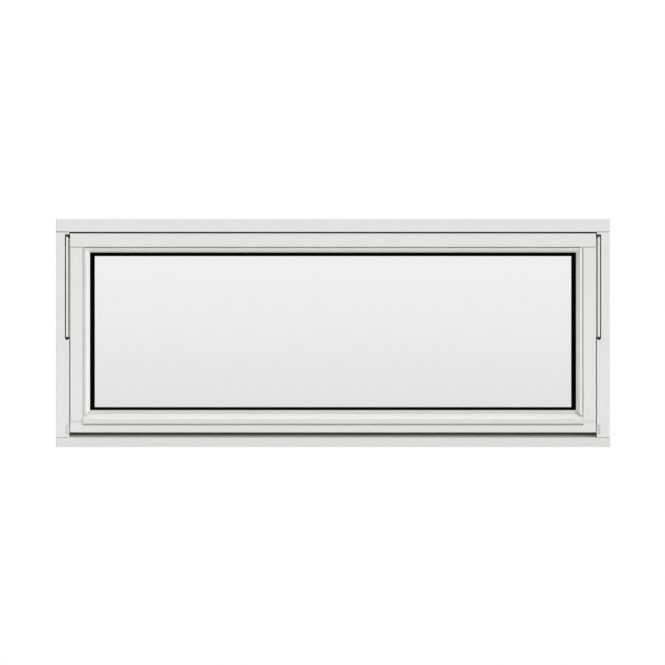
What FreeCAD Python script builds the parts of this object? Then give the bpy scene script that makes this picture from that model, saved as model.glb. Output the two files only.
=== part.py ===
"""Top hung awning window: a white painted timber frame and sash with a sealed double glazed unit.

Millimetres. X runs to the right seen from outside, Y from the outside towards the room, Z up.
The origin is the middle of the sill's flat underside.
"""

import FreeCAD
import Part
import math
import os

# Outer frame
FRAME_WIDTH = 1190.0
FRAME_HEIGHT = 490.0
FRAME_DEPTH = 115.0
HEAD_FACE = 27.8
JAMB_FACE = 28.5
FRAME_STOP = 14.0
SILL_FACE = 19.8
SILL_RISE = 8.3
SILL_SLOPE_RUN = 38.0
SILL_STOP_LAP = 12.0
FRAME_ARRIS = 1.5
STOP_ARRIS = 2.0
JOINT_ARRIS = 0.8
HEAD_JOINT_LINE = 0.9
HEAD_JOINT_RISE = 0.8
TOP_RAIL_JOINT_LINE = 1.4
SILL_JOINT_LINE = 0.8
BOTTOM_RAIL_JOINT_LINE = 0.7
JOINT_LINE_DEPTH = 5.0

# Sash and the gaps around it
SASH_SETBACK = 1.0
SASH_DEPTH = 60.0
SIDE_GAP = 1.8
TOP_GAP = 3.4
SILL_GAP = 3.3
SEAL_GAP = 4.0
STILE_FACE = 27.2
TOP_RAIL_FACE = 28.8
BOTTOM_RAIL_FACE = 23.7
SASH_ARRIS = 1.5
ROOM_ARRIS = 3.0
GLAZING_LIP = 20.0
REVEAL_DEPTH = 4.0
REVEAL_HEIGHT = 6.7
REVEAL_SLOPE = 2.2

# Sealed glass unit, its gasket, tape and spacer
PANE = 4.0
CAVITY = 16.0
GASKET = 3.0
GASKET_EDGE = 0.8
GASKET_SHOW_SIDE = 10.45
GASKET_SHOW_TOP = 8.0
GASKET_SHOW_BOTTOM = 6.7
GASKET_BED = 8.0
TAPE = 3.0
TAPE_SHOW = 1.5
TAPE_BED = 8.0
GLASS_EDGE_GAP = 5.0
SPACER_TUCK = 1.0

# Glazing beads: a groove beside the sash, a back that rises to the crest, then a slope down to the glass
SIDE_BEAD = 15.45
TOP_BEAD = 12.1
BOTTOM_BEAD = 24.1
SIDE_SLOPE_RUN = 8.6
TOP_SLOPE_RUN = 9.4
BEAD_CREST_SETBACK = 0.4
SIDE_CREST_RADIUS = 2.0
TOP_CREST_RADIUS = 1.0
BEAD_EDGE = 1.0
SIDE_QUIRK = 1.0
TOP_QUIRK = 2.2
QUIRK_LIP = 3.0
QUIRK_DEPTH = 8.0

# Drip bead: a near upright face at the glass, a cove below it, and a nose that overhangs the bottom rail
DRIP_FACE_RUN = 1.2
DRIP_COVE_RADIUS = 18.0
DRIP_SLOPE_FALL = 9.0
DRIP_NOSE_REACH = 3.0
DRIP_NOSE_HEIGHT = 10.0
DRIP_NOSE_EDGE = 1.0
DRIP_OVERHANG = 4.8
DRIP_GROOVE = 1.2
DRIP_GROOVE_RISE = 2.0

# Weather seal between the back of the sash and the frame stop
SEAL_INSET = 2.5
SEAL_WIDTH = 6.0

# Hinge arms in the grooves of the jambs
GROOVE_WIDTH = 9.5
GROOVE_REACH = 28.0
GROOVE_TOP_DROP = 33.0
ARM_THICKNESS = 4.5
ARM_DEPTH = 24.0
ARM_SETBACK = 1.5
ARM_CLEAR_OUTER = 2.5
ARM_CLEAR_TOP = 5.0
ARM_CLEAR_BOTTOM = 6.6
ARM_LENGTH = 215.6
ARM_TOP_CUT = 2.5
PIVOT_INSET = 12.0
PIN_RADIUS = 3.0
PIN_CLEARANCE = 0.2
COLLAR_RADIUS = 5.0
RIVET_HEAD_RADIUS = 4.5
RIVET_HEAD = 1.2
TRACK_SETBACK = 12.0
TRACK_DEPTH = 12.0
TRACK_TOP_DROP = 3.0
TRACK_CLEARANCE = 0.4

# Guide blocks let into the foot of each jamb
BLOCK_HEIGHT = 17.5
BLOCK_WIDTH = 6.5
BLOCK_DEPTH = 22.0
BLOCK_RISE = 29.0
BLOCK_RADIUS = 3.5
BLOCK_SETBACK = 0.3
BLOCK_CLEARANCE = 0.7
BLOCK_SASH_GAP = 1.4

# Fixing holes through each jamb
FIXING_RADIUS = 5.0
FIXING_DEPTH_POSITION = 48.0
FIXING_SPACING = 260.0
FIXING_MID_HEIGHT = 241.0

# Handle on the room side of the bottom rail
HANDLE_BASE_LENGTH = 70.0
HANDLE_BASE_HEIGHT = 28.0
HANDLE_BASE_THICKNESS = 9.0
HANDLE_BASE_ARRIS = 2.5
NECK_RADIUS = 8.0
LEVER_LENGTH = 118.0
LEVER_HEIGHT = 20.0
LEVER_THICKNESS = 13.0
LEVER_STANDOFF = 29.0
LEVER_ARRIS = 4.0

# Tolerance for picking the edges that lie in a plane
EDGE_TOLERANCE = 0.01

# Planes shared by the pieces
LEFT = -FRAME_WIDTH / 2
RIGHT = FRAME_WIDTH / 2
OUTSIDE = -FRAME_DEPTH / 2
ROOM = FRAME_DEPTH / 2
HEAD_EDGE = FRAME_HEIGHT - HEAD_FACE
HEAD_STOP_EDGE = HEAD_EDGE - FRAME_STOP
JAMB_EDGE = LEFT + JAMB_FACE
JAMB_STOP_EDGE = JAMB_EDGE + FRAME_STOP
SILL_BACK = SILL_FACE + SILL_RISE

SASH_FRONT = OUTSIDE + SASH_SETBACK
SASH_BACK = SASH_FRONT + SASH_DEPTH
STOP_FACE = SASH_BACK + SEAL_GAP
SASH_LEFT = JAMB_EDGE + SIDE_GAP
SASH_TOP = HEAD_EDGE - TOP_GAP
SASH_BOTTOM = SILL_BACK + SILL_GAP
SILL_STOP_EDGE = SASH_BOTTOM + SILL_STOP_LAP

STILE_EDGE = SASH_LEFT + STILE_FACE
TOP_EDGE = SASH_TOP - TOP_RAIL_FACE
BOTTOM_EDGE = SASH_BOTTOM + BOTTOM_RAIL_FACE
SIGHT_LEFT = STILE_EDGE + SIDE_BEAD
SIGHT_TOP = TOP_EDGE - TOP_BEAD
SIGHT_BOTTOM = BOTTOM_EDGE + BOTTOM_BEAD

LIP_FACE = SASH_BACK - GLAZING_LIP
INNER_PANE_FRONT = LIP_FACE - TAPE - PANE
CAVITY_FRONT = INNER_PANE_FRONT - CAVITY
GLASS_FRONT = CAVITY_FRONT - PANE
BEAD_BACK = GLASS_FRONT - GASKET

GROOVE_TOP = FRAME_HEIGHT - GROOVE_TOP_DROP
GROOVE_WALL = JAMB_EDGE - GROOVE_WIDTH
ARM_OUTER = GROOVE_WALL + ARM_CLEAR_OUTER
ARM_INNER = ARM_OUTER + ARM_THICKNESS
ARM_TOP = GROOVE_TOP - ARM_CLEAR_TOP
ARM_BOTTOM = ARM_TOP - ARM_LENGTH
GROOVE_BOTTOM = ARM_BOTTOM - ARM_CLEAR_BOTTOM
ARM_FRONT = OUTSIDE + ARM_SETBACK
TRACK_FRONT = OUTSIDE + TRACK_SETBACK
TRACK_OUTER = ARM_INNER + TRACK_CLEARANCE
PIVOT_DEPTH = TRACK_FRONT + TRACK_DEPTH / 2
FRAME_PIVOT_HEIGHT = ARM_TOP - PIVOT_INSET
SASH_PIVOT_HEIGHT = ARM_BOTTOM + PIVOT_INSET


def vec(x, y, z):
    return FreeCAD.Vector(x, y, z)


def rounded_wire(corners, place):
    """Closed wire through corners (a, b, radius), with a tangent arc at each corner that has a radius."""
    edges = []
    ends = []
    count = len(corners)
    for i in range(count):
        a, b, radius = corners[i]
        here = FreeCAD.Vector(a, b, 0)
        before = FreeCAD.Vector(corners[i - 1][0], corners[i - 1][1], 0)
        after = FreeCAD.Vector(corners[(i + 1) % count][0], corners[(i + 1) % count][1], 0)
        if radius == 0:
            ends.append((here, None, here))
            continue
        back = (before - here).normalize()
        ahead = (after - here).normalize()
        half = back.getAngle(ahead) / 2
        reach = radius / math.tan(half)
        bisector = (back + ahead).normalize()
        middle = here + bisector * (radius / math.sin(half) - radius)
        ends.append((here + back * reach, middle, here + ahead * reach))
    for i in range(count):
        start, middle, end = ends[i]
        if middle is not None:
            edges.append(Part.Arc(place(start), place(middle), place(end)).toShape())
        following = ends[(i + 1) % count][0]
        if (following - end).Length > 1e-6:
            edges.append(Part.makeLine(place(end), place(following)))
    return Part.Wire(edges)


def along_x(corners, x0, x1):
    """Bar along X with a profile of (y, z, radius) corners."""
    wire = rounded_wire(corners, lambda p: vec(x0, p.x, p.y))
    return Part.Face(wire).extrude(vec(x1 - x0, 0, 0))


def along_z(corners, z0, z1):
    """Bar along Z with a profile of (x, y, radius) corners."""
    wire = rounded_wire(corners, lambda p: vec(p.x, p.y, z0))
    return Part.Face(wire).extrude(vec(0, 0, z1 - z0))


def along_y(corners, y0, y1):
    """Bar along Y with a profile of (x, z, radius) corners."""
    wire = rounded_wire(corners, lambda p: vec(p.x, y0, p.y))
    return Part.Face(wire).extrude(vec(0, y1 - y0, 0))


def sharp(corners):
    """The same profile with every corner left square."""
    return [(a, b, 0) for a, b, radius in corners]


def box(x0, x1, y0, y1, z0, z1):
    return Part.makeBox(x1 - x0, y1 - y0, z1 - z0, vec(x0, y0, z0))


def pin(radius, x0, x1, y, z):
    """Round pin along X."""
    return Part.makeCylinder(radius, x1 - x0, vec(x0, y, z), vec(1, 0, 0))


def mirrored(shape):
    """The matching piece on the other side of the window."""
    return shape.mirror(vec(0, 0, 0), vec(1, 0, 0))


def save(name, shape):
    """Write one closed solid as its own file."""
    solid = shape.Solids[0]
    if len(shape.Solids) != 1 or not solid.isValid() or not solid.isClosed():
        raise ValueError(name + " is not one closed solid")
    solid.exportStep("parts/" + name + ".step")


def save_pair(name, left_shape):
    save(name + "_left", left_shape)
    save(name + "_right", mirrored(left_shape))


def head_profile():
    return [
        (OUTSIDE, FRAME_HEIGHT, FRAME_ARRIS),
        (ROOM, FRAME_HEIGHT, FRAME_ARRIS),
        (ROOM, HEAD_STOP_EDGE, STOP_ARRIS),
        (STOP_FACE, HEAD_STOP_EDGE, STOP_ARRIS),
        (STOP_FACE, HEAD_EDGE, 0),
        (OUTSIDE, HEAD_EDGE, JOINT_ARRIS),
    ]


def sill_profile():
    return [
        (OUTSIDE, 0, 0),
        (ROOM, 0, 0),
        (ROOM, SILL_STOP_EDGE, STOP_ARRIS),
        (STOP_FACE, SILL_STOP_EDGE, STOP_ARRIS),
        (STOP_FACE, SILL_BACK, 0),
        (OUTSIDE + SILL_SLOPE_RUN, SILL_BACK, 0),
        (OUTSIDE, SILL_FACE, JOINT_ARRIS),
    ]


def jamb_profile():
    return [
        (LEFT, OUTSIDE, FRAME_ARRIS),
        (JAMB_EDGE, OUTSIDE, JOINT_ARRIS),
        (JAMB_EDGE, STOP_FACE, 0),
        (JAMB_STOP_EDGE, STOP_FACE, STOP_ARRIS),
        (JAMB_STOP_EDGE, ROOM, STOP_ARRIS),
        (LEFT, ROOM, FRAME_ARRIS),
    ]


def frame_bar(profile):
    """Head or sill: a bar over the full width with its four upright corners eased."""
    plan = [
        (LEFT, OUTSIDE, FRAME_ARRIS),
        (RIGHT, OUTSIDE, FRAME_ARRIS),
        (RIGHT, ROOM, FRAME_ARRIS),
        (LEFT, ROOM, FRAME_ARRIS),
    ]
    return along_x(profile, LEFT, RIGHT).common(along_z(plan, 0, FRAME_HEIGHT))


def joint_line(front, x0, x1, z0, z1):
    """Narrow sunk line across the face where a post meets a bar."""
    return box(x0, x1, front, front + JOINT_LINE_DEPTH, z0, z1)


def frame_head():
    """Head with the upper half of the joint line sunk in its face over each jamb."""
    head = frame_bar(head_profile())
    line = joint_line(OUTSIDE, LEFT, JAMB_EDGE, HEAD_EDGE, HEAD_EDGE + HEAD_JOINT_RISE)
    return head.cut(line).cut(mirrored(line))


def hinge_groove():
    """Slot in the jamb, open to the outside and to the sash, with a round lower end."""
    radius = GROOVE_WIDTH / 2
    slot = box(GROOVE_WALL, JAMB_EDGE, OUTSIDE, OUTSIDE + GROOVE_REACH, GROOVE_BOTTOM + radius, GROOVE_TOP)
    foot = Part.makeCylinder(
        radius, GROOVE_REACH, vec(GROOVE_WALL + radius, OUTSIDE, GROOVE_BOTTOM + radius), vec(0, 1, 0)
    )
    return slot.fuse(foot).removeSplitter()


def block_outline(clearance):
    """Front outline of a guide block, rounded on the side away from the sash."""
    outer = JAMB_EDGE - BLOCK_WIDTH - clearance
    low = BLOCK_RISE - clearance
    high = BLOCK_RISE + BLOCK_HEIGHT + clearance
    return [
        (outer, low, BLOCK_RADIUS),
        (SASH_LEFT - BLOCK_SASH_GAP, low, 0),
        (SASH_LEFT - BLOCK_SASH_GAP, high, 0),
        (outer, high, BLOCK_RADIUS),
    ]


def frame_jamb():
    jamb = along_z(jamb_profile(), 0, FRAME_HEIGHT)
    jamb = jamb.cut(along_x(sharp(head_profile()), LEFT, RIGHT))
    jamb = jamb.cut(along_x(sharp(sill_profile()), LEFT, RIGHT))
    jamb = jamb.cut(joint_line(OUTSIDE, LEFT, JAMB_EDGE, HEAD_EDGE - HEAD_JOINT_LINE, HEAD_EDGE))
    jamb = jamb.cut(joint_line(OUTSIDE, LEFT, JAMB_EDGE, SILL_FACE, SILL_FACE + SILL_JOINT_LINE))
    jamb = jamb.cut(hinge_groove())
    pocket = along_y(block_outline(BLOCK_CLEARANCE), OUTSIDE, OUTSIDE + BLOCK_SETBACK + BLOCK_DEPTH)
    jamb = jamb.cut(pocket)
    for side in (-1, 1):
        height = FIXING_MID_HEIGHT + side * FIXING_SPACING / 2
        jamb = jamb.cut(pin(FIXING_RADIUS, LEFT, JAMB_STOP_EDGE, OUTSIDE + FIXING_DEPTH_POSITION, height))
    return jamb


def top_rail_profile():
    return [
        (SASH_FRONT, SASH_TOP, SASH_ARRIS),
        (SASH_BACK, SASH_TOP, 0),
        (SASH_BACK, SIGHT_TOP, ROOM_ARRIS),
        (LIP_FACE, SIGHT_TOP, 0),
        (LIP_FACE, TOP_EDGE, 0),
        (SASH_FRONT, TOP_EDGE, JOINT_ARRIS),
    ]


def bottom_rail_profile():
    return [
        (SASH_FRONT, SASH_BOTTOM, SASH_ARRIS),
        (SASH_BACK, SASH_BOTTOM, 0),
        (SASH_BACK, SIGHT_BOTTOM, ROOM_ARRIS),
        (LIP_FACE, SIGHT_BOTTOM, 0),
        (LIP_FACE, BOTTOM_EDGE, 0),
        (SASH_FRONT, BOTTOM_EDGE, 0),
    ]


def bottom_rail():
    """Bottom rail with a shadow groove in its face under the drip bead's nose."""
    back = SASH_FRONT + REVEAL_DEPTH
    low = BOTTOM_EDGE - REVEAL_HEIGHT
    groove = [
        (SASH_FRONT, BOTTOM_EDGE, 0),
        (SASH_FRONT, low - REVEAL_SLOPE, 0),
        (back, low, 0),
        (back, BOTTOM_EDGE, 0),
    ]
    rail = along_x(bottom_rail_profile(), SASH_LEFT, -SASH_LEFT)
    return rail.cut(along_x(groove, STILE_EDGE, -STILE_EDGE))


def stile_profile():
    return [
        (SASH_LEFT, SASH_FRONT, SASH_ARRIS),
        (STILE_EDGE, SASH_FRONT, JOINT_ARRIS),
        (STILE_EDGE, LIP_FACE, 0),
        (SIGHT_LEFT, LIP_FACE, 0),
        (SIGHT_LEFT, SASH_BACK, ROOM_ARRIS),
        (SASH_LEFT, SASH_BACK, 0),
    ]


def sash_stile():
    stile = along_z(stile_profile(), SASH_BOTTOM, SASH_TOP)
    stile = stile.cut(along_x(sharp(top_rail_profile()), LEFT, RIGHT))
    stile = stile.cut(along_x(sharp(bottom_rail_profile()), LEFT, RIGHT))
    upper_line = TOP_EDGE - TOP_RAIL_JOINT_LINE
    stile = stile.cut(joint_line(SASH_FRONT, SASH_LEFT, STILE_EDGE, upper_line, TOP_EDGE))
    lower_line = BOTTOM_EDGE + BOTTOM_RAIL_JOINT_LINE
    return stile.cut(joint_line(SASH_FRONT, SASH_LEFT, STILE_EDGE, BOTTOM_EDGE, lower_line))


def bead_steps(width, slope_run, crest_radius, quirk):
    """Bead section as (distance from the sash edge, depth behind the sash face, radius)."""
    back = BEAD_BACK - SASH_FRONT
    return [
        (0, back, 0),
        (width, back, 0),
        (width, back - BEAD_EDGE, 0),
        (width - slope_run, BEAD_CREST_SETBACK, crest_radius),
        (quirk, QUIRK_LIP, 0),
        (quirk, QUIRK_DEPTH, 0),
        (0, QUIRK_DEPTH, 0),
    ]


def top_mitre():
    """Length of the 45 degree cut where a side bead meets the top bead."""
    return min(SIDE_BEAD, TOP_BEAD)


def bottom_mitre():
    """Length of the 45 degree cut where a side bead meets the bottom bead."""
    return min(SIDE_BEAD, BOTTOM_BEAD)


def side_bead():
    steps = bead_steps(SIDE_BEAD, SIDE_SLOPE_RUN, SIDE_CREST_RADIUS, SIDE_QUIRK)
    profile = [(STILE_EDGE + u, SASH_FRONT + s, r) for u, s, r in steps]
    bar = along_z(profile, BOTTOM_EDGE, TOP_EDGE)
    high = top_mitre()
    low = bottom_mitre()
    outline = [
        (SIGHT_LEFT, SIGHT_BOTTOM, 0),
        (SIGHT_LEFT, SIGHT_TOP, 0),
        (SIGHT_LEFT - high, SIGHT_TOP + high, 0),
    ]
    if high < SIDE_BEAD:
        outline.append((STILE_EDGE, TOP_EDGE, 0))
    if low < SIDE_BEAD:
        outline.append((STILE_EDGE, BOTTOM_EDGE, 0))
    outline.append((SIGHT_LEFT - low, SIGHT_BOTTOM - low, 0))
    return bar.common(along_y(outline, SASH_FRONT, BEAD_BACK))


def top_bead():
    steps = bead_steps(TOP_BEAD, TOP_SLOPE_RUN, TOP_CREST_RADIUS, TOP_QUIRK)
    profile = [(SASH_FRONT + s, TOP_EDGE - u, r) for u, s, r in steps]
    bar = along_x(profile, STILE_EDGE, -STILE_EDGE)
    run = top_mitre()
    left_end = [(SIGHT_LEFT, SIGHT_TOP, 0), (SIGHT_LEFT - run, SIGHT_TOP + run, 0)]
    if run < TOP_BEAD:
        left_end.append((STILE_EDGE, TOP_EDGE, 0))
    right_end = [(-x, z, r) for x, z, r in reversed(left_end)]
    return bar.common(along_y(left_end + right_end, SASH_FRONT, BEAD_BACK))


def drip_bead():
    """Bottom bead: a face at the glass that sweeps forwards into a nose overhanging the bottom rail."""
    front = SASH_FRONT - DRIP_NOSE_REACH
    low = BOTTOM_EDGE - DRIP_OVERHANG
    profile = [
        (SASH_FRONT, low + DRIP_GROOVE_RISE, 0),
        (SASH_FRONT - DRIP_GROOVE, low + DRIP_GROOVE_RISE, 0),
        (SASH_FRONT - DRIP_GROOVE, low, 0),
        (front, low, JOINT_ARRIS),
        (front, low + DRIP_NOSE_HEIGHT, DRIP_NOSE_EDGE),
        (BEAD_BACK - BEAD_EDGE - DRIP_FACE_RUN, low + DRIP_NOSE_HEIGHT + DRIP_SLOPE_FALL, DRIP_COVE_RADIUS),
        (BEAD_BACK - BEAD_EDGE, SIGHT_BOTTOM, 0),
        (BEAD_BACK, SIGHT_BOTTOM, 0),
        (BEAD_BACK, BOTTOM_EDGE, 0),
        (SASH_FRONT, BOTTOM_EDGE, 0),
    ]
    bar = along_x(profile, STILE_EDGE, -STILE_EDGE)
    run = bottom_mitre()
    left_end = [(STILE_EDGE, low, 0)]
    if run == SIDE_BEAD:
        left_end.append((STILE_EDGE, SIGHT_BOTTOM - run, 0))
    else:
        left_end.append((STILE_EDGE, BOTTOM_EDGE, 0))
        left_end.append((SIGHT_LEFT - run, BOTTOM_EDGE, 0))
    left_end.append((SIGHT_LEFT, SIGHT_BOTTOM, 0))
    right_end = [(-x, z, r) for x, z, r in reversed(left_end)]
    return bar.common(along_y(left_end + right_end, front, BEAD_BACK))


def mitred_ring(section, x0, z0, z1):
    """One-piece strip around a rectangle; section is (distance inward from the rectangle, y)."""
    inner = max(a for a, y in section)
    outer = min(a for a, y in section)
    y0 = min(y for a, y in section)
    y1 = max(y for a, y in section)
    x1 = -x0
    left = along_z([(x0 + a, y, 0) for a, y in section], z0 + outer, z1 - outer)
    top = along_x([(y, z1 - a, 0) for a, y in section], x0 + outer, x1 - outer)
    bottom = along_x([(y, z0 + a, 0) for a, y in section], x0 + outer, x1 - outer)
    near = [
        (x0 + outer, z0 + outer, 0),
        (x0 + inner, z0 + inner, 0),
        (x0 + inner, z1 - inner, 0),
        (x0 + outer, z1 - outer, 0),
    ]
    over = [
        (x0 + outer, z1 - outer, 0),
        (x0 + inner, z1 - inner, 0),
        (x1 - inner, z1 - inner, 0),
        (x1 - outer, z1 - outer, 0),
    ]
    under = [
        (x0 + outer, z0 + outer, 0),
        (x0 + inner, z0 + inner, 0),
        (x1 - inner, z0 + inner, 0),
        (x1 - outer, z0 + outer, 0),
    ]
    left = left.common(along_y(near, y0, y1))
    top = top.common(along_y(over, y0, y1))
    bottom = bottom.common(along_y(under, y0, y1))
    return left.fuse([top, bottom, mirrored(left)]).removeSplitter()


def sight_rectangle(y, side, top, bottom):
    """Closed wire at depth y, set in from the sight lines by the given amounts."""
    x = SIGHT_LEFT + side
    low = SIGHT_BOTTOM + bottom
    high = SIGHT_TOP - top
    corners = [vec(x, y, low), vec(-x, y, low), vec(-x, y, high), vec(x, y, high)]
    return Part.makePolygon(corners + corners[:1])


def outer_gasket():
    """Rubber between the beads and the outer pane; its face slopes from the sight line down to the glass."""
    x = SIGHT_LEFT - GASKET_BED
    ring = box(x, -x, BEAD_BACK, GLASS_FRONT, SIGHT_BOTTOM - GASKET_BED, SIGHT_TOP + GASKET_BED)
    mouth = sight_rectangle(BEAD_BACK, 0, 0, 0)
    shows = (GASKET_SHOW_SIDE, GASKET_SHOW_TOP, GASKET_SHOW_BOTTOM)
    throat = sight_rectangle(GLASS_FRONT - GASKET_EDGE, *shows)
    opening = Part.makeLoft([mouth, throat], True, True)
    edge = Part.Face(throat).extrude(vec(0, GASKET_EDGE, 0))
    return ring.cut(opening).cut(edge)


def inner_tape():
    section = [
        (-TAPE_BED, LIP_FACE - TAPE),
        (TAPE_SHOW, LIP_FACE - TAPE),
        (TAPE_SHOW, LIP_FACE),
        (-TAPE_BED, LIP_FACE),
    ]
    return mitred_ring(section, SIGHT_LEFT, SIGHT_BOTTOM, SIGHT_TOP)


def weather_seal():
    section = [
        (-SEAL_INSET - SEAL_WIDTH, SASH_BACK),
        (-SEAL_INSET, SASH_BACK),
        (-SEAL_INSET, STOP_FACE),
        (-SEAL_INSET - SEAL_WIDTH, STOP_FACE),
    ]
    return mitred_ring(section, JAMB_STOP_EDGE, SILL_STOP_EDGE, HEAD_STOP_EDGE)


def pane(front):
    side = STILE_EDGE + GLASS_EDGE_GAP
    return box(side, -side, front, front + PANE, BOTTOM_EDGE + GLASS_EDGE_GAP, TOP_EDGE - GLASS_EDGE_GAP)


def glass_spacer():
    """Black edge bar and sealant between the two panes."""
    side = STILE_EDGE + GLASS_EDGE_GAP
    back = CAVITY_FRONT + CAVITY
    outer = box(side, -side, CAVITY_FRONT, back, BOTTOM_EDGE + GLASS_EDGE_GAP, TOP_EDGE - GLASS_EDGE_GAP)
    near = SIGHT_LEFT + GASKET_SHOW_SIDE - SPACER_TUCK
    low = SIGHT_BOTTOM + GASKET_SHOW_BOTTOM - SPACER_TUCK
    high = SIGHT_TOP - GASKET_SHOW_TOP + SPACER_TUCK
    return outer.cut(box(near, -near, CAVITY_FRONT, back, low, high))


def hinge_arm():
    """Flat bar standing edge-on in the groove, bored for a pivot pin near each end."""
    radius = ARM_THICKNESS / 2
    outline = [
        (ARM_OUTER, ARM_BOTTOM, radius),
        (ARM_INNER, ARM_BOTTOM, radius),
        (ARM_INNER, ARM_TOP - ARM_TOP_CUT, 0),
        (ARM_INNER - ARM_TOP_CUT, ARM_TOP, 0),
        (ARM_OUTER, ARM_TOP, 0),
    ]
    arm = along_y(outline, ARM_FRONT, ARM_FRONT + ARM_DEPTH)
    bore = PIN_RADIUS + PIN_CLEARANCE
    for height in (FRAME_PIVOT_HEIGHT, SASH_PIVOT_HEIGHT):
        arm = arm.cut(pin(bore, ARM_OUTER, ARM_INNER, PIVOT_DEPTH, height))
    return arm


def frame_pivot():
    """Flush rivet that carries the upper end of the arm on the jamb."""
    collar = pin(COLLAR_RADIUS, GROOVE_WALL, ARM_OUTER, PIVOT_DEPTH, FRAME_PIVOT_HEIGHT)
    shank = pin(PIN_RADIUS, ARM_OUTER, ARM_INNER, PIVOT_DEPTH, FRAME_PIVOT_HEIGHT)
    return collar.fuse(shank).removeSplitter()


def hinge_track():
    """Steel track on the edge of the stile, behind the arm."""
    top = ARM_TOP - TRACK_TOP_DROP
    return box(TRACK_OUTER, SASH_LEFT, TRACK_FRONT, TRACK_FRONT + TRACK_DEPTH, ARM_BOTTOM, top)


def sash_pivot():
    """Rivet that joins the lower end of the arm to the track."""
    collar = pin(COLLAR_RADIUS, ARM_INNER, TRACK_OUTER, PIVOT_DEPTH, SASH_PIVOT_HEIGHT)
    shank = pin(PIN_RADIUS, ARM_OUTER, ARM_INNER, PIVOT_DEPTH, SASH_PIVOT_HEIGHT)
    rivet = pin(RIVET_HEAD_RADIUS, ARM_OUTER - RIVET_HEAD, ARM_OUTER, PIVOT_DEPTH, SASH_PIVOT_HEIGHT)
    return collar.fuse([shank, rivet]).removeSplitter()


def guide_block():
    return along_y(block_outline(0), OUTSIDE + BLOCK_SETBACK, OUTSIDE + BLOCK_SETBACK + BLOCK_DEPTH)


def handle_height():
    """Middle of the part of the bottom rail that shows above the sill stop."""
    return (SILL_STOP_EDGE + SIGHT_BOTTOM) / 2


def round_ended_plate(x0, x1, height, y0, y1):
    """Plate parallel to the glass at handle height, with half-round ends."""
    radius = height / 2
    low = handle_height() - radius
    high = handle_height() + radius
    corners = [(x0, low, radius), (x1, low, radius), (x1, high, radius), (x0, high, radius)]
    return along_y(corners, y0, y1)


def edges_at_depth(shape, *depths):
    """The edges of a shape that lie in one of the planes parallel to the glass."""
    found = []
    for edge in shape.Edges:
        bounds = edge.BoundBox
        if bounds.YLength < EDGE_TOLERANCE and min(abs(bounds.YMin - y) for y in depths) < EDGE_TOLERANCE:
            found.append(edge)
    return found


def handle_base():
    """Screw plate of the handle on the bottom rail."""
    half = HANDLE_BASE_LENGTH / 2
    face = SASH_BACK + HANDLE_BASE_THICKNESS
    plate = round_ended_plate(-half, half, HANDLE_BASE_HEIGHT, SASH_BACK, face)
    return plate.makeFillet(HANDLE_BASE_ARRIS, edges_at_depth(plate, face))


def handle_lever():
    """Round neck and a lever lying along the bottom rail in the shut position."""
    start = -LEVER_HEIGHT / 2
    near = SASH_BACK + LEVER_STANDOFF
    far = near + LEVER_THICKNESS
    grip = round_ended_plate(start, start + LEVER_LENGTH, LEVER_HEIGHT, near, far)
    grip = grip.makeFillet(LEVER_ARRIS, edges_at_depth(grip, near, far))
    foot = vec(0, SASH_BACK + HANDLE_BASE_THICKNESS, handle_height())
    middle = (near + far) / 2
    neck = Part.makeCylinder(NECK_RADIUS, middle - foot.y, foot, vec(0, 1, 0))
    return grip.fuse(neck).removeSplitter()


os.makedirs("parts", exist_ok=True)
save("frame_head", frame_head())
save("frame_sill", frame_bar(sill_profile()))
save_pair("frame_jamb", frame_jamb())
save("weather_seal", weather_seal())
save("sash_top_rail", along_x(top_rail_profile(), SASH_LEFT, -SASH_LEFT))
save("sash_bottom_rail", bottom_rail())
save_pair("sash_stile", sash_stile())
save("glazing_bead_top", top_bead())
save_pair("glazing_bead", side_bead())
save("drip_bead", drip_bead())
save("outer_gasket", outer_gasket())
save("outer_pane", pane(GLASS_FRONT))
save("glass_spacer", glass_spacer())
save("inner_pane", pane(INNER_PANE_FRONT))
save("inner_glazing_tape", inner_tape())
save_pair("hinge_arm", hinge_arm())
save_pair("hinge_track", hinge_track())
save_pair("frame_pivot", frame_pivot())
save_pair("sash_pivot", sash_pivot())
save_pair("guide_block", guide_block())
save("handle_base", handle_base())
save("handle_lever", handle_lever())
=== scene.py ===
"""Finish and studio for a top hung awning window, laid out as a Blender add-on.

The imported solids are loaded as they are. Each operator gives one group of pieces its material and
its small fittings, and the last one sets the floor, the light and the camera. Metres throughout:
X runs to the right seen from outside, Y from the outside towards the room, Z up.
"""

import math

import bmesh
import bpy
from bpy.props import FloatProperty, FloatVectorProperty, PointerProperty
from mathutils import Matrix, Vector


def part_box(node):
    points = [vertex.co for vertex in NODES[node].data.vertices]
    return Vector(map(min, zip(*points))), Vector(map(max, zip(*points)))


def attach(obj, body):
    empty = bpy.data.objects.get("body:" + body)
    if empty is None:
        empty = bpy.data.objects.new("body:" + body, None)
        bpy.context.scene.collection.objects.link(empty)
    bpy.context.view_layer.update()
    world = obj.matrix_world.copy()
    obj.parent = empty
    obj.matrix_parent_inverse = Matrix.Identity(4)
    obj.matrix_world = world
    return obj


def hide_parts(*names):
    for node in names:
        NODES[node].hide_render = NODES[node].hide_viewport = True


bl_info = {
    "name": "Awning Window Finish",
    "version": (1, 0, 0),
    "blender": (4, 5, 0),
    "location": "3D View > Sidebar > Window",
    "description": "Paints, glazes, fits out and lights a top hung awning window",
    "category": "Object",
}

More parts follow.
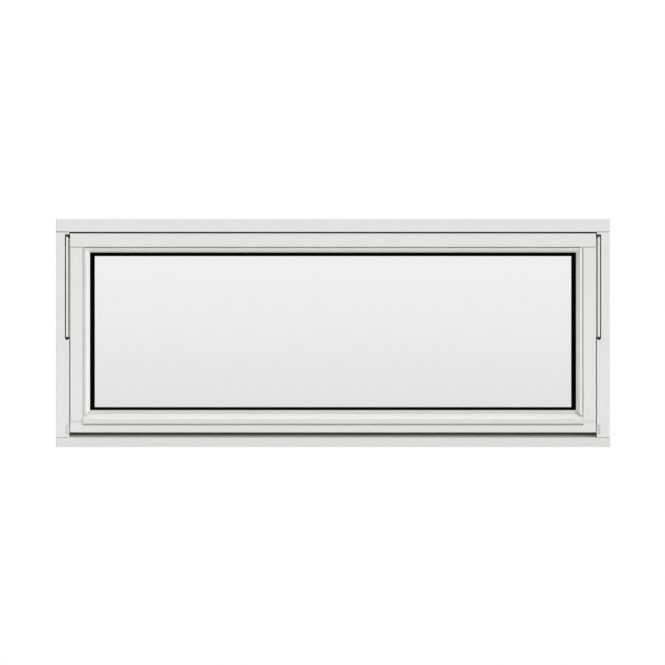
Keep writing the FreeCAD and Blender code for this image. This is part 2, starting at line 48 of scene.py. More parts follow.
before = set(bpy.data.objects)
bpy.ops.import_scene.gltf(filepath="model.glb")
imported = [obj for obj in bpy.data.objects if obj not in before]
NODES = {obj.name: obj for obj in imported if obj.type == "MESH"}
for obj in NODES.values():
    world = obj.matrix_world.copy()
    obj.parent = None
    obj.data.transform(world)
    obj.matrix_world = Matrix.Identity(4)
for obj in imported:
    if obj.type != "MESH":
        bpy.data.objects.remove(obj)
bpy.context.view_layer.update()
BODY = "root"
SIDES = ("left", "right")
WHITE = (1.0, 1.0, 1.0)

# Axes that marks and stains run along, and the way that the handle's turned pieces stand
ALONG_X = 0
ALONG_Z = 2
ROOMWARDS = Vector((0.0, 1.0, 0.0))

# Marks of the finishes per metre, and how much some of them count
PAINT_PEEL = 1400.0
PAINT_PEEL_SHARE = 0.4
METAL_PEEL = 2600.0
METAL_PEEL_SHARE = 0.7
COATING_LINES_ACROSS = 700.0
COATING_LINES_ALONG = 20.0
HANDLE_LINES_ACROSS = 1500.0
HANDLE_LINES_ALONG = 60.0
PLATING_MARKS = (900.0, 900.0, 900.0)
MOULDED_SPECKLE = 1800.0
MOULDED_BLOOM = 25.0
MOULDED_ROUGHNESS_SPREAD = 0.12
STAIN_SPECKLE = 700.0
STAIN_SPECKLE_SPREAD = 0.6

# A corner is sheltered where rays from it meet another surface within this reach
SHELTER_REACH = 0.02
SHELTER_RAYS = 8

# Power that lets the tint of the glass, with its painted reflection, deepen slowly at first, and
# the soft border of the painted shade at the ends of head and sill
REFLECTION_POWER = 1.5
END_SHADE_BORDER = 0.0002

# Turned pieces: points in a ring, lobes of a screw's recess, and the angle of a crisp edge
RING_POINTS = 36
SCREW_LOBES = 6
CRISP_ANGLE = math.radians(35)

# Grip of the handle: depth, sections along it, points round it, and its form in shares of its sizes
GRIP_DEPTH = 0.013
GRIP_STATIONS = 48
GRIP_POINTS = 40
GRIP_ROUNDNESS = 0.78
GRIP_TAPER = 0.22
GRIP_END_DEPTH = 0.35
WAIST_DEPTH = 0.2
WAIST_START = 0.08
WAIST_LENGTH = 0.72

# Neck of the handle: radius, sections along it, the flare of its ends, and its stop in the grip
NECK_RADIUS = 0.0072
NECK_STATIONS = 16
NECK_FLARE = 0.0012
NECK_FLARE_POWER = 3
NECK_STOP = 0.0075

# Casting of grip and neck into one: size of a grain, then passes and strength of smoothing
CAST_GRAIN = 0.0006
CAST_PASSES = 8
CAST_SMOOTHING = 0.5

# Place of the lamps, which doesn't change their light, and of the floor below the sill
LAMP_DISTANCE = 3.0
FLOOR_DROP = 0.0005

SURFACE_OUTPUTS = [
    ("Colour", "NodeSocketColor"),
    ("Roughness", "NodeSocketFloat"),
    ("Height", "NodeSocketFloat"),
]


def colour_property(name, description, default):
    """A linear colour that the user may change."""
    return FloatVectorProperty(
        name=name,
        description=description,
        subtype="COLOR",
        size=3,
        min=0.0,
        max=1.0,
        default=default,
    )


def length_property(name, description, default):
    """A length in metres that the user may change."""
    return FloatProperty(
        name=name, description=description, unit="LENGTH", min=0.0, default=default
    )


def place_property(name, description, default):
    """A coordinate in metres that the user may change."""
    return FloatProperty(name=name, description=description, unit="LENGTH", default=default)


def angle_property(name, description, degrees):
    """An angle that the user may change, written here in degrees."""
    return FloatProperty(
        name=name, description=description, subtype="ANGLE", default=math.radians(degrees)
    )


def share_property(name, description, default):
    """A share from 0 to 1 that the user may change."""
    return FloatProperty(
        name=name, description=description, subtype="FACTOR", min=0.0, max=1.0, default=default
    )


def strength_property(name, description, default):
    """The strength of a light that the user may change."""
    return FloatProperty(name=name, description=description, min=0.0, default=default)


class PaintSettings(bpy.types.PropertyGroup):
    """Paint on the timber and the coating on the drip bead, and the shade painted onto them"""

    timber: colour_property("Timber", "White paint on frame and sash", (0.752, 0.752, 0.738))
    sill: colour_property("Sill", "Slightly warmer white on the sill", (0.72, 0.713, 0.692))
    drip: colour_property("Drip bead", "Coating on the aluminium drip bead", (0.729, 0.7235, 0.721))
    # Painted shade: a warm tint where corners are occluded, and a weaker one on the sill
    corners: colour_property("Corners", "Painted warm shade in sheltered corners", (1.0, 1.0, 0.9))
    sill_shade_tint: colour_property("Sill shade tint", "Weaker painted warm shade in the sill's sheltered corners", (1.0, 1.0, 0.97))
    stroke_length: length_property("Stroke length", "Length of the brush strokes", 0.09)
    stroke_pitch: length_property("Stroke pitch", "Distance between brush strokes", 0.0016)
    stroke_relief: length_property("Stroke relief", "Height of the brush strokes", 0.00005)
    tone: share_property("Tone", "How much the white varies between strokes", 0.03)
    roughness: share_property("Roughness", "Roughness of the satin paint", 0.6)
    roughness_spread: share_property("Roughness spread", "How much the roughness varies", 0.1)
    gloss: share_property("Gloss", "Strength of the paint's reflections", 0.1)
    # Painted shade at both ends of head and sill
    end_shade: colour_property("End shade", "Painted shade at the ends of head and sill", (0.84, 0.84, 0.82))
    end_shade_depth: length_property("End shade depth", "How far that painted shade reaches in", 0.0016)
    # Painted shade on the drip bead: below the glass, and on its nose
    drip_shade: colour_property("Drip shade", "Painted shade on the drip bead below the glass", (0.834, 0.832, 0.794))
    drip_shade_height: length_property("Drip shade height", "How far that painted shade reaches below the glass", 0.0162)
    drip_shade_band: length_property("Drip shade band", "Height of the full painted shade at the glass", 0.0052)
    splash: colour_property("Nose shade", "Painted shade on the drip bead's nose", (0.957, 0.955, 0.92))
    nose_shade_height: length_property("Nose shade height", "How far that painted shade reaches up the bead", 0.0098)
    nose_shade_band: length_property("Nose shade band", "Height of the full painted shade on the nose", 0.0086)
    # Painted shade on the top and right bead slopes, and a painted shade line at the top bead's
    # foot
    slope_shade_tint: colour_property("Slope shade", "Painted warm shade on two bead slopes", (0.975, 0.972, 0.93))
    slope_shade_reach: length_property("Slope shade reach", "How far that painted shade lies on those slopes", 0.0075)
    slope_shade_band: length_property("Slope shade band", "Width of the full painted shade beside the glass", 0.0063)
    foot: colour_property("Foot", "Painted shade line along the top bead's foot", (0.74, 0.74, 0.725))
    foot_height: length_property("Foot height", "How far that line reaches up the bead", 0.0036)
    foot_band: length_property("Foot band", "Height of the full grey in that line", 0.0027)


class GlassSettings(bpy.types.PropertyGroup):
    """Tint of the sealed glass unit with a painted reflection, and the black round it"""

    # Painted reflection: the pane's tint is lighter at the top than at the bottom
    tint_and_reflection_high: colour_property("Top tint and reflection", "Lightest tint of a pane, lit by a painted reflection", (0.9285, 0.9285, 0.9285))
    tint_and_reflection_low: colour_property("Bottom tint and reflection", "Darkest tint of a pane, at its bottom", (0.856, 0.856, 0.854))
    rubber: colour_property("Rubber", "Black of gasket, tape and seal", (0.0012, 0.0012, 0.0012))
    spacer: colour_property("Spacer", "Black of the bar between the panes", (0.004, 0.004, 0.004))
    refraction: FloatProperty(
        name="Refraction", description="Refractive index of the glass", min=1.0, default=1.52
    )


class FittingSettings(bpy.types.PropertyGroup):
    """Colours and sizes of the hinges, the guide blocks and the handle"""

    arm: colour_property("Hinge arm", "Coated steel of the hinge arms", (0.768, 0.768, 0.748))
    rivet: colour_property("Rivet", "Blackened steel of the pivots", (0.12, 0.12, 0.12))
    screw: colour_property("Screw", "Plated steel of the handle's screws", (0.62, 0.62, 0.61))
    block: colour_property("Guide block", "Moulded plastic of the blocks", (0.645, 0.645, 0.615))
    handle: colour_property("Handle", "Satin aluminium of the handle", (0.66, 0.66, 0.655))
    screw_radius: length_property("Screw radius", "Radius of the handle's screw heads", 0.0042)
    screw_inset: length_property("Screw inset", "From a screw to the end of its plate", 0.0105)
    collar_radius: length_property("Collar radius", "Radius of the ring round the neck", 0.0118)
    collar_height: length_property("Collar height", "Height of the ring above its plate", 0.0026)


class StageSettings(bpy.types.PropertyGroup):
    """Floor, light and camera"""

    view_width: length_property("View width", "Width of the picture at the window", 1.4284)
    view_x: place_property("View X", "Middle of the picture, from left to right", -0.0011)
    view_z: place_property("View Z", "Middle of the picture, from the floor up", 0.246)
    distance: length_property("Distance", "From the camera to the middle of the window", 3.0)
    ambient: strength_property("Soft light", "Even light from all round", 0.511)
    key: strength_property("Key light", "Light from the right", 1.41)
    key_bearing: angle_property("Key bearing", "Angle to the right of straight on", 53)
    key_rise: angle_property("Key rise", "Angle above the horizon", 18)
    key_spread: angle_property("Key spread", "Apparent width of the key light", 30)
    top: strength_property("Top light", "Light from overhead", 0.91)
    top_rise: angle_property("Top rise", "Angle above the horizon", 83)
    top_spread: angle_property("Top spread", "Apparent width of the top light", 30)
    back_fill: strength_property("Back fill", "Light on the room side", 1.2)
    back_rise: angle_property("Back rise", "Angle above the horizon", 12)
    back_spread: angle_property("Back spread", "Apparent width of the back fill", 40)
    floor: colour_property("Floor", "Pale studio floor", (0.94, 0.94, 0.94))
    floor_size: length_property("Floor size", "Width of the square floor", 14.0)


def place(tree, kind, settings=None, inputs=None):
    """Adds one node; settings are its own properties, inputs are values or sockets to link."""
    made = tree.nodes.new(kind)
    for name, value in (settings or {}).items():
        setattr(made, name, value)
    for key, value in (inputs or {}).items():
        if isinstance(value, bpy.types.NodeSocket):
            tree.links.new(value, made.inputs[key])
        else:
            made.inputs[key].default_value = value
    return made


def start_group(name, takes, gives):
    """Starts a shader group and returns it with the sockets it takes and those it gives."""
    group = bpy.data.node_groups.new(name, "ShaderNodeTree")
    for title, kind in takes:
        group.interface.new_socket(name=title, in_out="INPUT", socket_type=kind)
    for title, kind in gives:
        group.interface.new_socket(name=title, in_out="OUTPUT", socket_type=kind)
    source = group.nodes.new("NodeGroupInput")
    sink = group.nodes.new("NodeGroupOutput")
    return group, source.outputs, sink.inputs


def math_node(tree, operation, *values):
    """The result of one sum on values or sockets."""
    made = place(tree, "ShaderNodeMath", {"operation": operation}, dict(enumerate(values)))
    return made.outputs[0]


def vector_node(tree, operation, *values):
    """The result of one sum on vectors or colours."""
    made = place(tree, "ShaderNodeVectorMath", {"operation": operation}, dict(enumerate(values)))
    return made.outputs[0]


def scaled(tree, colour, gain):
    """A vector or colour times one value."""
    inputs = {0: colour, "Scale": gain}
    return place(tree, "ShaderNodeVectorMath", {"operation": "SCALE"}, inputs).outputs[0]


def noise(tree, vector, scale, detail):
    """A noise value round 0.5 at the given places."""
    inputs = {"Vector": vector, "Scale": scale, "Detail": detail}
    return place(tree, "ShaderNodeTexNoise", inputs=inputs).outputs["Fac"]


def share_between(tree, value, start, end):
    """How far a value has come from start to end, held between 0 and 1."""
    inputs = {"Value": value, "From Min": start, "From Max": end}
    return place(tree, "ShaderNodeMapRange", inputs=inputs).outputs[0]


def object_places(tree):
    """Places on the window in metres."""
    return place(tree, "ShaderNodeTexCoord").outputs["Object"]


def varied(tree, value, noise_value, spread):
    """A value plus spread times the noise's distance from its middle."""
    swing = math_node(tree, "SUBTRACT", noise_value, 0.5)
    return math_node(tree, "MULTIPLY_ADD", swing, spread, value)


def toned(tree, colour, noise_value, spread):
    """A colour made lighter and darker by a noise."""
    return scaled(tree, colour, varied(tree, 1.0, noise_value, spread))


def with_painted_shade(tree, colour, shade_colour, share):
    """A colour times a painted shade colour, blended in by a share from 0 to 1."""
    change = scaled(tree, vector_node(tree, "SUBTRACT", shade_colour, WHITE), share)
    return vector_node(tree, "MULTIPLY", colour, vector_node(tree, "ADD", WHITE, change))


def grain_group(name, peel_scale, peel_share):
    """Shared effect: long marks over a fine even peel, and a painted warm shade tint in sheltered
    corners.
    """
    takes = [
        ("Colour", "NodeSocketColor"),
        ("Painted Shade", "NodeSocketColor"),
        ("Stretch", "NodeSocketVector"),
        ("Tone", "NodeSocketFloat"),
        ("Roughness", "NodeSocketFloat"),
        ("Roughness Spread", "NodeSocketFloat"),
    ]
    group, given, result = start_group(name, takes, SURFACE_OUTPUTS)
    places = object_places(group)
    stretched = vector_node(group, "MULTIPLY", places, given["Stretch"])
    marks = noise(group, stretched, scale=1.0, detail=3.0)
    peel = noise(group, places, peel_scale, detail=2.0)
    relief = math_node(group, "MULTIPLY_ADD", peel, peel_share, marks)
    roughness = varied(group, given["Roughness"], marks, given["Roughness Spread"])
    # Painted warm shade: occluded places take the corner tint
    look_round = {"Distance": SHELTER_REACH}
    sky = place(group, "ShaderNodeAmbientOcclusion", {"samples": SHELTER_RAYS}, look_round)
    sheltered = math_node(group, "SUBTRACT", 1.0, sky.outputs["AO"])
    colour = toned(group, given["Colour"], marks, given["Tone"])
    group.links.new(with_painted_shade(group, colour, given["Painted Shade"], sheltered), result["Colour"])
    group.links.new(roughness, result["Roughness"])
    group.links.new(relief, result["Height"])
    return group


def moulded_skin_group():
    """Shared effect: the fine matt skin of moulded rubber and plastic."""
    takes = [
        ("Colour", "NodeSocketColor"),
        ("Speckle Scale", "NodeSocketFloat"),
        ("Tone", "NodeSocketFloat"),
        ("Roughness", "NodeSocketFloat"),
    ]
    group, given, result = start_group("MouldedSkin", takes, SURFACE_OUTPUTS)
    places = object_places(group)
    speckle = noise(group, places, given["Speckle Scale"], detail=4.0)
    bloom = noise(group, places, MOULDED_BLOOM, detail=1.0)
    roughness = varied(group, given["Roughness"], speckle, MOULDED_ROUGHNESS_SPREAD)
    group.links.new(toned(group, given["Colour"], bloom, given["Tone"]), result["Colour"])
    group.links.new(roughness, result["Roughness"])
    group.links.new(speckle, result["Height"])
    return group


def glass_tint_and_reflection_group():
    """Shared effect: the tint of the glass with a painted reflection, lighter at the top of the
    glass and darker towards the bottom.
    """
    takes = [
        ("High Tint And Reflection", "NodeSocketColor"),
        ("Low Tint And Reflection", "NodeSocketColor"),
        ("High Level", "NodeSocketFloat"),
        ("Low Level", "NodeSocketFloat"),
    ]
    group, given, result = start_group("GlassTintAndReflection", takes, [("Colour", "NodeSocketColor")])
    level = place(group, "ShaderNodeSeparateXYZ", inputs={0: object_places(group)}).outputs["Z"]
    drop = share_between(group, level, given["High Level"], given["Low Level"])
    share = math_node(group, "POWER", drop, REFLECTION_POWER)
    change = vector_node(group, "SUBTRACT", given["Low Tint And Reflection"], given["High Tint And Reflection"])
    mixed = vector_node(group, "ADD", given["High Tint And Reflection"], scaled(group, change, share))
    group.links.new(mixed, result["Colour"])
    return group


def edge_shade_group():
    """Shared effect: a speckled painted shade that sets in along one axis, alike on both sides."""
    takes = [
        ("Colour", "NodeSocketColor"),
        ("Axis", "NodeSocketVector"),
        ("Start", "NodeSocketFloat"),
        ("End", "NodeSocketFloat"),
        ("Painted Shade", "NodeSocketColor"),
    ]
    group, given, result = start_group("EdgeShade", takes, [("Colour", "NodeSocketColor")])
    places = object_places(group)
    along = {0: vector_node(group, "ABSOLUTE", places), 1: given["Axis"]}
    dot = place(group, "ShaderNodeVectorMath", {"operation": "DOT_PRODUCT"}, along)
    reach = share_between(group, dot.outputs["Value"], given["Start"], given["End"])
    speckle = noise(group, places, STAIN_SPECKLE, detail=3.0)
    share = math_node(group, "MULTIPLY", reach, varied(group, 1.0, speckle, STAIN_SPECKLE_SPREAD))
    # The share blends in the painted shade colour
    group.links.new(with_painted_shade(group, given["Colour"], given["Painted Shade"], share), result["Colour"])
    return group


def shared_group(name):
    """A shared effect, made the first time that it is asked for."""
    if name in bpy.data.node_groups:
        return bpy.data.node_groups[name]
    makers = {
        "PaintFilm": lambda: grain_group("PaintFilm", PAINT_PEEL, PAINT_PEEL_SHARE),
        "MetalGrain": lambda: grain_group("MetalGrain", METAL_PEEL, METAL_PEEL_SHARE),
        "MouldedSkin": moulded_skin_group,
        "GlassTintAndReflection": glass_tint_and_reflection_group,
        "EdgeShade": edge_shade_group,
    }
    return makers[name]()


def opaque(colour):
    """A colour property as a socket's four numbers."""
    return (colour[0], colour[1], colour[2], 1.0)


def start_material(name):
    """A new material and its node tree, still empty."""
    material = bpy.data.materials.new(name)
    material.use_nodes = True
    material.node_tree.nodes.clear()
    return material, material.node_tree


def skin_material(name, group, values, shader, relief, edges=()):
    """Material whose colour, sheen and relief come from one shared effect.

    shader sets plain sockets, relief is the depth of the marks, and edges holds the values of each
    painted shade towards an edge of the piece.
    """
    material, tree = start_material(name)
    skin = place(tree, "ShaderNodeGroup", {"node_tree": shared_group(group)}, values).outputs
    colour = skin["Colour"]
    for edge in edges:
        shade = {"node_tree": shared_group("EdgeShade")}
        colour = place(tree, "ShaderNodeGroup", shade, {"Colour": colour, **edge}).outputs["Colour"]
    bump = place(tree, "ShaderNodeBump", inputs={"Height": skin["Height"], "Distance": relief})
    varying = {
        "Base Color": colour,
        "Roughness": skin["Roughness"],
        "Normal": bump.outputs["Normal"],
    }
    surface = place(tree, "ShaderNodeBsdfPrincipled", inputs={**varying, **shader})
    place(tree, "ShaderNodeOutputMaterial", inputs={"Surface": surface.outputs["BSDF"]})
    return material


def edge_values(axis, start, end, shade_colour):
    """Values for a painted shade that sets in at start and is full at end, both measured along an
    axis.
    """
    return {"Axis": axis, "Start": start, "End": end, "Painted Shade": opaque(shade_colour)}


def low_edge_values(node, axis, reach, band, shade_colour):
    """Values for a painted shade at a piece's low side on one axis, full over band and gone at
    reach.
    """
    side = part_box(node)[0][axis]
    outwards = [0.0, 0.0, 0.0]
    outwards[axis] = -1.0
    return edge_values(outwards, -(side + reach), -(side + band), shade_colour)


def end_shade(node):
    """Values for painted shade at both ends of a bar along X."""
    paint = bpy.context.scene.window_paint
    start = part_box(node)[1].x - paint.end_shade_depth
    return edge_values((1.0, 0.0, 0.0), start, start + END_SHADE_BORDER, paint.end_shade)


def drip_glass_shade(node):
    """Values for painted shade on the drip bead, deepest at the glass."""
    paint = bpy.context.scene.window_paint
    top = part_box(node)[1].z
    return edge_values((0.0, 0.0, 1.0), top - paint.drip_shade_height, top - paint.drip_shade_band, paint.drip_shade)


def drip_nose_shade(node):
    """Values for painted shade on the nose of the drip bead."""
    paint = bpy.context.scene.window_paint
    return low_edge_values(node, ALONG_Z, paint.nose_shade_height, paint.nose_shade_band, paint.splash)


def foot_shade(node):
    """Values for the painted shade line along the foot of the top bead."""
    paint = bpy.context.scene.window_paint
    return low_edge_values(node, ALONG_Z, paint.foot_height, paint.foot_band, paint.foot)


def slope_shade(node, axis):
    """Values for painted shade on the slope of a bead, which lies beside the glass along one axis.
    """
    paint = bpy.context.scene.window_paint
    return low_edge_values(node, axis, paint.slope_shade_reach, paint.slope_shade_band, paint.slope_shade_tint)


def marks_along(axis, across, along):
    """Marks per metre on the three axes for marks that are drawn out along one of them."""
    marks = [across] * 3
    marks[axis] = along
    return marks


def grain_values(colour, marks, tone, roughness, roughness_spread, corners=None):
    """Values for a finish with long marks; corners is a painted shade tint for sheltered corners in
    place of the usual one.
    """
    if corners is None:
        corners = bpy.context.scene.window_paint.corners
    return {
        "Colour": opaque(colour),
        "Painted Shade": opaque(corners),
        "Stretch": marks,
        "Tone": tone,
        "Roughness": roughness,
        "Roughness Spread": roughness_spread,
    }


def painted_timber(name, colour, axis, edges=(), corners=None):
    """Brushed satin paint with its strokes along one axis."""
    paint = bpy.context.scene.window_paint
    strokes = marks_along(axis, 1.0 / paint.stroke_pitch, 1.0 / paint.stroke_length)
    spread = paint.roughness_spread
    values = grain_values(colour, strokes, paint.tone, paint.roughness, spread, corners)
    shader = {"Specular IOR Level": paint.gloss}
    return skin_material(name, "PaintFilm", values, shader, paint.stroke_relief, edges)


def coated_metal(name, colour, axis, roughness, edges=()):
    """Smooth factory coating with a faint drawn line along the bar."""
    lines = marks_along(axis, COATING_LINES_ACROSS, COATING_LINES_ALONG)
    values = grain_values(colour, lines, tone=0.02, roughness=roughness, roughness_spread=0.08)
    return skin_material(name, "PaintFilm", values, {}, relief=0.00002, edges=edges)


def bare_metal(name, colour, marks, roughness):
    """Plated, blackened or satin metal with its finishing marks."""
    values = grain_values(colour, marks, tone=0.1, roughness=roughness, roughness_spread=0.15)
    return skin_material(name, "MetalGrain", values, {"Metallic": 1.0}, relief=0.00001)


def moulded(name, colour, roughness, gloss):
    """Rubber or plastic with a matt moulded skin."""
    values = {
        "Colour": opaque(colour),
        "Speckle Scale": MOULDED_SPECKLE,
        "Tone": 0.3,
        "Roughness": roughness,
    }
    return skin_material(name, "MouldedSkin", values, {"Specular IOR Level": gloss}, relief=0.00003)


def pane_glass(name):
    """Tinted clear glass with a painted reflection, lighter at the top, that lets the lamps
    through.
    """
    glass = bpy.context.scene.window_glass
    low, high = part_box("outer_pane")
    material, tree = start_material(name)
    values = {
        "High Tint And Reflection": opaque(glass.tint_and_reflection_high),
        "Low Tint And Reflection": opaque(glass.tint_and_reflection_low),
        "High Level": high.z,
        "Low Level": low.z,
    }
    # Painted reflection: the pane's colour is lighter at the top
    tint_and_reflection = place(tree, "ShaderNodeGroup", {"node_tree": shared_group("GlassTintAndReflection")}, values)
    clear_body = {
        "Base Color": tint_and_reflection.outputs["Colour"],
        "Roughness": 0.0,
        "Transmission Weight": 1.0,
        "IOR": glass.refraction,
    }
    surface = place(tree, "ShaderNodeBsdfPrincipled", inputs=clear_body).outputs["BSDF"]
    clear = place(tree, "ShaderNodeBsdfTransparent").outputs["BSDF"]
    shadow = place(tree, "ShaderNodeLightPath").outputs["Is Shadow Ray"]
    mixed = place(tree, "ShaderNodeMixShader", inputs={0: shadow, 1: surface, 2: clear})
    place(tree, "ShaderNodeOutputMaterial", inputs={"Surface": mixed.outputs["Shader"]})
    return material


def finish_nodes(material, *names):
    """Gives a material to solids that keep their own shape."""
    for name in names:
        for slot in NODES[name].material_slots:
            slot.material = material


def ring(centre, axis, radius, lobes=0.0):
    """Points round an axis; lobes is the share of the radius by which a star swings in and out."""
    across = axis.orthogonal().normalized()
    up = axis.cross(across)
    points = []
    for i in range(RING_POINTS):
        turn = 2 * math.pi * i / RING_POINTS
        reach = radius * (1 + lobes * math.cos(SCREW_LOBES * turn))
        points.append(centre + across * (reach * math.cos(turn)) + up * (reach * math.sin(turn)))
    return points


def turned_rings(start, axis, steps):
    """Rings for a turned piece; each step is (distance along the axis, radius, lobes)."""
    return [ring(start + axis * along, axis, radius, lobes) for along, radius, lobes in steps]


def lofted(bm, rings):
    """Adds one closed shell through rings of points, with both ends capped."""
    rows = [[bm.verts.new(point) for point in points] for points in rings]
    for low, high in zip(rows, rows[1:]):
        for i in range(len(low)):
            j = (i + 1) % len(low)
            bm.faces.new((low[i], low[j], high[j], high[i]))
    bm.faces.new(list(reversed(rows[0])))
    bm.faces.new(rows[-1])


def shell_mesh(name, *shells):
    """Smooth shaded mesh of one or more closed shells of rings."""
    bm = bmesh.new()
    for rings in shells:
        lofted(bm, rings)
    bmesh.ops.recalc_face_normals(bm, faces=bm.faces)
    for face in bm.faces:
        face.smooth = True
    mesh = bpy.data.meshes.new(name)
    bm.to_mesh(mesh)
    bm.free()
    mesh.set_sharp_from_angle(angle=CRISP_ANGLE)
    return mesh


def add_piece(name, mesh, material, stands_for=()):
    """Links a new piece that rides with the window, and hides the parts that it stands for."""
    piece = bpy.data.objects.new(name, mesh)
    bpy.context.scene.collection.objects.link(piece)
    mesh.materials.append(material)
    if stands_for:
        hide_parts(*stands_for)
    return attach(piece, BODY)


def cast_together(piece):
    """Melts the shells of a piece into one casting with soft inner corners."""
    remesh = piece.modifiers.new("melt", "REMESH")
    remesh.mode = "VOXEL"
    remesh.voxel_size = CAST_GRAIN
    remesh.use_smooth_shade = True
    smooth = piece.modifiers.new("soften", "SMOOTH")
    smooth.factor = CAST_SMOOTHING
    smooth.iterations = CAST_PASSES
    shape = piece.evaluated_get(bpy.context.evaluated_depsgraph_get())
    rough = piece.data
    cast = bpy.data.meshes.new_from_object(shape)
    piece.modifiers.clear()
    piece.data = cast
    bpy.data.meshes.remove(rough)


def grip_section(centre, half_depth, half_height):
    """Points round the grip at one station, between an ellipse and a rectangle."""
    points = []
    for i in range(GRIP_POINTS):
        turn = 2 * math.pi * i / GRIP_POINTS
        side = math.copysign(abs(math.cos(turn)) ** GRIP_ROUNDNESS, math.cos(turn))
        rise = math.copysign(abs(math.sin(turn)) ** GRIP_ROUNDNESS, math.sin(turn))
        points.append(centre + Vector((0.0, half_depth * side, half_height * rise)))
    return points


def grip_rings():
    """Sections of the handle's grip, waisted behind the neck and full at the finger end."""
    low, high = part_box("handle_lever")
    middle_y = high.y - GRIP_DEPTH / 2
    middle_z = (low.z + high.z) / 2
    half_height = (high.z - low.z) / 2
    length = high.x - low.x
    rings = []
    for i in range(1, GRIP_STATIONS):
        share = 0.5 - 0.5 * math.cos(math.pi * i / GRIP_STATIONS)
        along = share * length
        from_end = min(along, length - along)
        cap = math.sqrt(max(0.0, 1 - max(0.0, 1 - from_end / half_height) ** 2))
        in_waist = min(1.0, max(0.0, share - WAIST_START) / WAIST_LENGTH)
        waist = 1 - WAIST_DEPTH * math.sin(math.pi * in_waist) ** 2
        taper = 1 - GRIP_TAPER * share
        depth = GRIP_DEPTH / 2 * (GRIP_END_DEPTH + (1 - GRIP_END_DEPTH) * cap) * taper
        centre = Vector((low.x + along, middle_y, middle_z))
        rings.append(grip_section(centre, depth, half_height * cap * waist))
    return rings


def neck_rings():
    """Sections of the handle's neck, flared at both ends."""
    low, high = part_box("handle_lever")
    start = Vector((0.0, low.y, (low.z + high.z) / 2))
    length = high.y - low.y - NECK_STOP
    steps = []
    for i in range(NECK_STATIONS + 1):
        share = i / NECK_STATIONS
        flare = abs(2 * share - 1) ** NECK_FLARE_POWER
        steps.append((share * length, NECK_RADIUS + NECK_FLARE * flare, 0.0))
    return turned_rings(start, ROOMWARDS, steps)


def collar_rings(centre, radius, height):
    """Sections of the ring round the neck, let into its plate and rounded over at the top."""
    let_in = 0.001
    steps = [
        (-let_in, radius, 0.0),
        (0.55 * height, radius, 0.0),
        (0.85 * height, 0.95 * radius, 0.0),
        (height, 0.86 * radius, 0.0),
        (height, 0.6 * radius, 0.0),
    ]
    return turned_rings(centre, ROOMWARDS, steps)


def screw_rings(centre, radius):
    """Sections of a low domed screw head with a six-lobed recess."""
    let_in = 0.0012
    rim = 0.0002
    shoulder = 0.0006
    crown = 0.0008
    recess_floor = -0.0009
    star = 0.14
    steps = [
        (-let_in, 0.7 * radius, 0.0),
        (0.0, radius, 0.0),
        (rim, radius, 0.0),
        (shoulder, 0.82 * radius, 0.0),
        (crown, 0.55 * radius, 0.0),
        (crown, 0.4 * radius, star),
        (recess_floor, 0.37 * radius, star),
    ]
    return turned_rings(centre, ROOMWARDS, steps)


class WINDOW_OT_paint_frame(bpy.types.Operator):
    """Paints the head, the jambs and the sill"""

    bl_idname = "awning_window.paint_frame"
    bl_label = "Paint Frame"

    def execute(self, context):
        paint = context.scene.window_paint
        # Head and sill take painted shade at their ends
        ends = [end_shade("frame_head")]
        head = painted_timber("frame paint, level", paint.timber, ALONG_X, ends)
        finish_nodes(head, "frame_head")
        ends = [end_shade("frame_sill")]
        # The sill takes a weaker painted shade tint in its corners
        sill = painted_timber("sill paint", paint.sill, ALONG_X, ends, paint.sill_shade_tint)
        finish_nodes(sill, "frame_sill")
        upright = painted_timber("frame paint, upright", paint.timber, ALONG_Z)
        finish_nodes(upright, "frame_jamb_left", "frame_jamb_right")
        return {"FINISHED"}


class WINDOW_OT_paint_sash(bpy.types.Operator):
    """Paints the rails and the stiles"""

    bl_idname = "awning_window.paint_sash"
    bl_label = "Paint Sash"

    def execute(self, context):
        paint = context.scene.window_paint
        level = painted_timber("sash paint, level", paint.timber, ALONG_X)
        upright = painted_timber("sash paint, upright", paint.timber, ALONG_Z)
        finish_nodes(level, "sash_top_rail", "sash_bottom_rail")
        finish_nodes(upright, "sash_stile_left", "sash_stile_right")
        return {"FINISHED"}


class WINDOW_OT_paint_beads(bpy.types.Operator):
    """Paints the glazing beads and coats the drip bead"""

    bl_idname = "awning_window.paint_beads"
    bl_label = "Paint Beads"

    def execute(self, context):
        paint = context.scene.window_paint
        # The top bead's slope and foot, and the right bead's slope, take painted shade
        stains = [slope_shade("glazing_bead_top", ALONG_Z), foot_shade("glazing_bead_top")]
        level = painted_timber("bead paint, level", paint.timber, ALONG_X, stains)
        finish_nodes(level, "glazing_bead_top")
        left = painted_timber("bead paint, left", paint.timber, ALONG_Z)
        finish_nodes(left, "glazing_bead_left")
        stains = [slope_shade("glazing_bead_right", ALONG_X)]
        right = painted_timber("bead paint, right", paint.timber, ALONG_Z, stains)
        finish_nodes(right, "glazing_bead_right")
        # Painted shade on the drip bead, below the glass and on its nose
        stains = [drip_glass_shade("drip_bead"), drip_nose_shade("drip_bead")]
        coating = coated_metal("drip coating", paint.drip, ALONG_X, roughness=0.28, edges=stains)
        finish_nodes(coating, "drip_bead")
        return {"FINISHED"}


class WINDOW_OT_glaze_sash(bpy.types.Operator):
    """Gives the panes, the spacer and the rubber strips their materials"""

    bl_idname = "awning_window.glaze_sash"
    bl_label = "Glaze Sash"

    def execute(self, context):
        glass = context.scene.window_glass
        finish_nodes(pane_glass("clear glass"), "outer_pane", "inner_pane")
        rubber = moulded("black rubber", glass.rubber, roughness=0.8, gloss=0.01)
        finish_nodes(rubber, "outer_gasket", "inner_glazing_tape", "weather_seal")
        spacer = moulded("spacer black", glass.spacer, roughness=0.6, gloss=0.1)
        finish_nodes(spacer, "glass_spacer")
        return {"FINISHED"}


